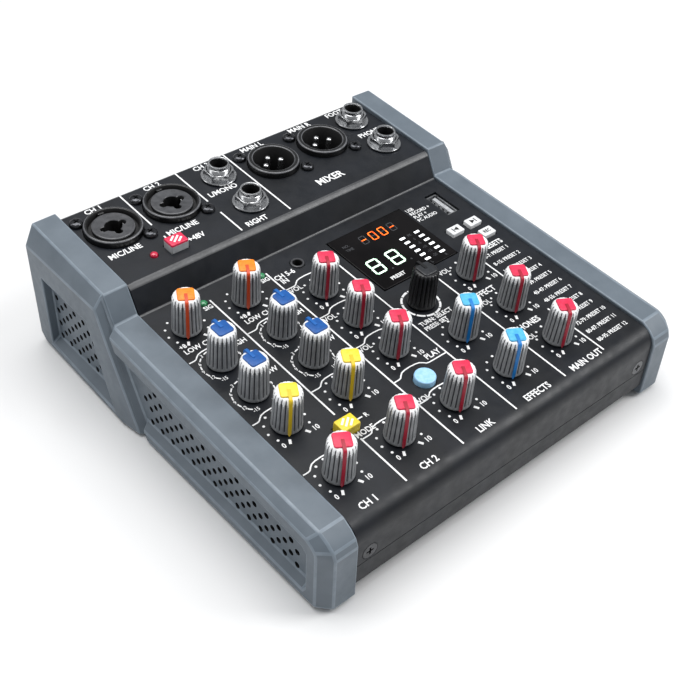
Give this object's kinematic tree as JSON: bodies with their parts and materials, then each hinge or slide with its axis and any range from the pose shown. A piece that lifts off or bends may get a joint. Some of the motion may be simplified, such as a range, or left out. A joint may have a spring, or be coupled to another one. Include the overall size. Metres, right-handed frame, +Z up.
{
  "type": "mixing console",
  "caption": "Small desktop audio mixing console with a stepped sloping panel, rotary knobs, push buttons, a display, top-mounted sockets and moulded end cheeks.",
  "frame": {"origin": "centre of the bounding box's base, on the surface the feet stand on", "axes": "+Z up, +Y to the rear edge where the sockets are, +X to the right seen from the front"},
  "size_m": [0.1764, 0.1716, 0.0585],
  "materials": {
    "cheek_plastic": "satin, fine moulded grain",
    "panel_metal": "black powder coat",
    "board": "glass-fibre circuit board",
    "socket_plastic": "satin black",
    "nickel": "nickel plate",
    "knob_plastic": "satin grey, fluted",
    "encoder_plastic": "satin black, fluted",
    "key_plastic": "satin off-white",
    "red_key": "satin red",
    "yellow_key": "satin yellow",
    "blue_key": "light blue",
    "foot_rubber": "matt black rubber",
    "window": "dark glossy display window",
    "screw_black": "blackened steel",
    "red_lens": "red diffused lens",
    "green_lens": "green diffused lens"
  },
  "bodies": {
    "chassis": {"top_panel": "panel_metal", "bottom_pan": "panel_metal", "left_cheek": "cheek_plastic", "right_cheek": "cheek_plastic", "front_screw_left": "screw_black", "front_screw_right": "screw_black", "foot_front_left": "foot_rubber", "foot_front_right": "foot_rubber", "foot_rear_left": "foot_rubber", "foot_rear_right": "foot_rubber", "power_inlet": "socket_plastic", "input_board": "board", "control_board": "board", "combo_socket_1": "socket_plastic", "combo_socket_2": "socket_plastic", "output_socket_left": "socket_plastic", "output_socket_right": "socket_plastic", "line_jack_left": "nickel", "line_jack_left_nut": "nickel", "line_jack_right": "nickel", "line_jack_right_nut": "nickel", "footswitch_jack": "nickel", "footswitch_jack_nut": "nickel", "headphone_jack": "nickel", "headphone_jack_nut": "nickel", "usb_socket": "nickel", "aux_mini_jack": "socket_plastic", "display_module": "socket_plastic", "display_window": "window", "phantom_led": "red_lens", "signal_led_1": "green_lens", "signal_led_2": "green_lens"},
    "gain_knob_1": {"gain_knob_1": "knob_plastic"},
    "high_knob_1": {"high_knob_1": "knob_plastic"},
    "low_knob_1": {"low_knob_1": "knob_plastic"},
    "effect_knob_1": {"effect_knob_1": "knob_plastic"},
    "level_knob_1": {"level_knob_1": "knob_plastic"},
    "gain_knob_2": {"gain_knob_2": "knob_plastic"},
    "high_knob_2": {"high_knob_2": "knob_plastic"},
    "low_knob_2": {"low_knob_2": "knob_plastic"},
    "effect_knob_2": {"effect_knob_2": "knob_plastic"},
    "level_knob_2": {"level_knob_2": "knob_plastic"},
    "line_level_knob": {"line_level_knob": "knob_plastic"},
    "aux_level_knob": {"aux_level_knob": "knob_plastic"},
    "player_level_knob": {"player_level_knob": "knob_plastic"},
    "wireless_level_knob": {"wireless_level_knob": "knob_plastic"},
    "effect_return_knob": {"effect_return_knob": "knob_plastic"},
    "effect_send_knob": {"effect_send_knob": "knob_plastic"},
    "monitor_level_knob": {"monitor_level_knob": "knob_plastic"},
    "phones_level_knob": {"phones_level_knob": "knob_plastic"},
    "main_level_knob": {"main_level_knob": "knob_plastic"},
    "encoder_plunger": {"encoder_plunger": "nickel"},
    "encoder_knob": {"encoder_knob": "encoder_plastic"},
    "previous_button": {"previous_button": "key_plastic"},
    "next_button": {"next_button": "key_plastic"},
    "record_button": {"record_button": "key_plastic"},
    "mode_button": {"mode_button": "yellow_key"},
    "phantom_button": {"phantom_button": "red_key"},
    "source_button": {"source_button": "blue_key"}
  },
  "joints": [
    {"name": "gain_1_turn", "type": "hinge", "parent": "chassis", "child": "gain_knob_1", "pos_m": [-0.063, 0.01743, 0.0382], "axis": [0, -0.061, 0.9981], "range_deg": [-300, 0]},
    {"name": "high_1_turn", "type": "hinge", "parent": "chassis", "child": "high_knob_1", "pos_m": [-0.063, -0.00333, 0.03693], "axis": [0, -0.061, 0.9981], "range_deg": [-150, 150]},
    {"name": "low_1_turn", "type": "hinge", "parent": "chassis", "child": "low_knob_1", "pos_m": [-0.063, -0.0208, 0.03586], "axis": [0, -0.061, 0.9981], "range_deg": [-150, 150]},
    {"name": "effect_1_turn", "type": "hinge", "parent": "chassis", "child": "effect_knob_1", "pos_m": [-0.063, -0.03837, 0.03478], "axis": [0, -0.061, 0.9981], "range_deg": [-300, 0]},
    {"name": "level_1_turn", "type": "hinge", "parent": "chassis", "child": "level_knob_1", "pos_m": [-0.063, -0.06422, 0.0332], "axis": [0, -0.061, 0.9981], "range_deg": [-300, 0]},
    {"name": "gain_2_turn", "type": "hinge", "parent": "chassis", "child": "gain_knob_2", "pos_m": [-0.037, 0.01743, 0.0382], "axis": [0, -0.061, 0.9981], "range_deg": [-300, 0]},
    {"name": "high_2_turn", "type": "hinge", "parent": "chassis", "child": "high_knob_2", "pos_m": [-0.037, -0.00333, 0.03693], "axis": [0, -0.061, 0.9981], "range_deg": [-150, 150]},
    {"name": "low_2_turn", "type": "hinge", "parent": "chassis", "child": "low_knob_2", "pos_m": [-0.037, -0.0208, 0.03586], "axis": [0, -0.061, 0.9981], "range_deg": [-150, 150]},
    {"name": "effect_2_turn", "type": "hinge", "parent": "chassis", "child": "effect_knob_2", "pos_m": [-0.037, -0.03837, 0.03478], "axis": [0, -0.061, 0.9981], "range_deg": [-300, 0]},
    {"name": "level_2_turn", "type": "hinge", "parent": "chassis", "child": "level_knob_2", "pos_m": [-0.037, -0.06422, 0.0332], "axis": [0, -0.061, 0.9981], "range_deg": [-300, 0]},
    {"name": "line_level_turn", "type": "hinge", "parent": "chassis", "child": "line_level_knob", "pos_m": [-0.011, 0.00475, 0.03742], "axis": [0, -0.061, 0.9981], "range_deg": [-300, 0]},
    {"name": "aux_level_turn", "type": "hinge", "parent": "chassis", "child": "aux_level_knob", "pos_m": [-0.011, -0.01431, 0.03626], "axis": [0, -0.061, 0.9981], "range_deg": [-300, 0]},
    {"name": "player_level_turn", "type": "hinge", "parent": "chassis", "child": "player_level_knob", "pos_m": [-0.011, -0.03358, 0.03508], "axis": [0, -0.061, 0.9981], "range_deg": [-300, 0]},
    {"name": "wireless_level_turn", "type": "hinge", "parent": "chassis", "child": "wireless_level_knob", "pos_m": [-0.011, -0.06422, 0.0332], "axis": [0, -0.061, 0.9981], "range_deg": [-300, 0]},
    {"name": "effect_return_turn", "type": "hinge", "parent": "chassis", "child": "effect_return_knob", "pos_m": [0.015, -0.04206, 0.03456], "axis": [0, -0.061, 0.9981], "range_deg": [-300, 0]},
    {"name": "effect_send_turn", "type": "hinge", "parent": "chassis", "child": "effect_send_knob", "pos_m": [0.015, -0.06422, 0.0332], "axis": [0, -0.061, 0.9981], "range_deg": [-300, 0]},
    {"name": "monitor_level_turn", "type": "hinge", "parent": "chassis", "child": "monitor_level_knob", "pos_m": [0.041, -0.02, 0.03591], "axis": [0, -0.061, 0.9981], "range_deg": [-300, 0]},
    {"name": "phones_level_turn", "type": "hinge", "parent": "chassis", "child": "phones_level_knob", "pos_m": [0.041, -0.04156, 0.03459], "axis": [0, -0.061, 0.9981], "range_deg": [-300, 0]},
    {"name": "main_level_turn", "type": "hinge", "parent": "chassis", "child": "main_level_knob", "pos_m": [0.041, -0.06422, 0.0332], "axis": [0, -0.061, 0.9981], "range_deg": [-300, 0]},
    {"name": "encoder_press", "type": "slide", "parent": "chassis", "child": "encoder_plunger", "axis": [0, 0.061, -0.9981], "range_m": [0, 0.0005], "stiffness_N_per_m": 2000},
    {"name": "encoder_turn", "type": "hinge", "parent": "encoder_plunger", "child": "encoder_knob", "pos_m": [0.014, -0.0213, 0.03583], "axis": [0, -0.061, 0.9981], "continuous": true},
    {"name": "previous_press", "type": "slide", "parent": "chassis", "child": "previous_button", "axis": [0, 0.061, -0.9981], "range_m": [0, 0.0008], "stiffness_N_per_m": 900},
    {"name": "next_press", "type": "slide", "parent": "chassis", "child": "next_button", "axis": [0, 0.061, -0.9981], "range_m": [0, 0.0008], "stiffness_N_per_m": 900},
    {"name": "record_press", "type": "slide", "parent": "chassis", "child": "record_button", "axis": [0, 0.061, -0.9981], "range_m": [0, 0.0008], "stiffness_N_per_m": 900},
    {"name": "mode_press", "type": "slide", "parent": "chassis", "child": "mode_button", "axis": [0, 0.061, -0.9981], "range_m": [0, 0.0022], "stiffness_N_per_m": 500},
    {"name": "phantom_press", "type": "slide", "parent": "chassis", "child": "phantom_button", "axis": [0, 0.061, -0.9981], "range_m": [0, 0.0022], "stiffness_N_per_m": 500},
    {"name": "source_press", "type": "slide", "parent": "chassis", "child": "source_button", "axis": [0, 0.061, -0.9981], "range_m": [0, 0.0014], "stiffness_N_per_m": 600}
  ]
}
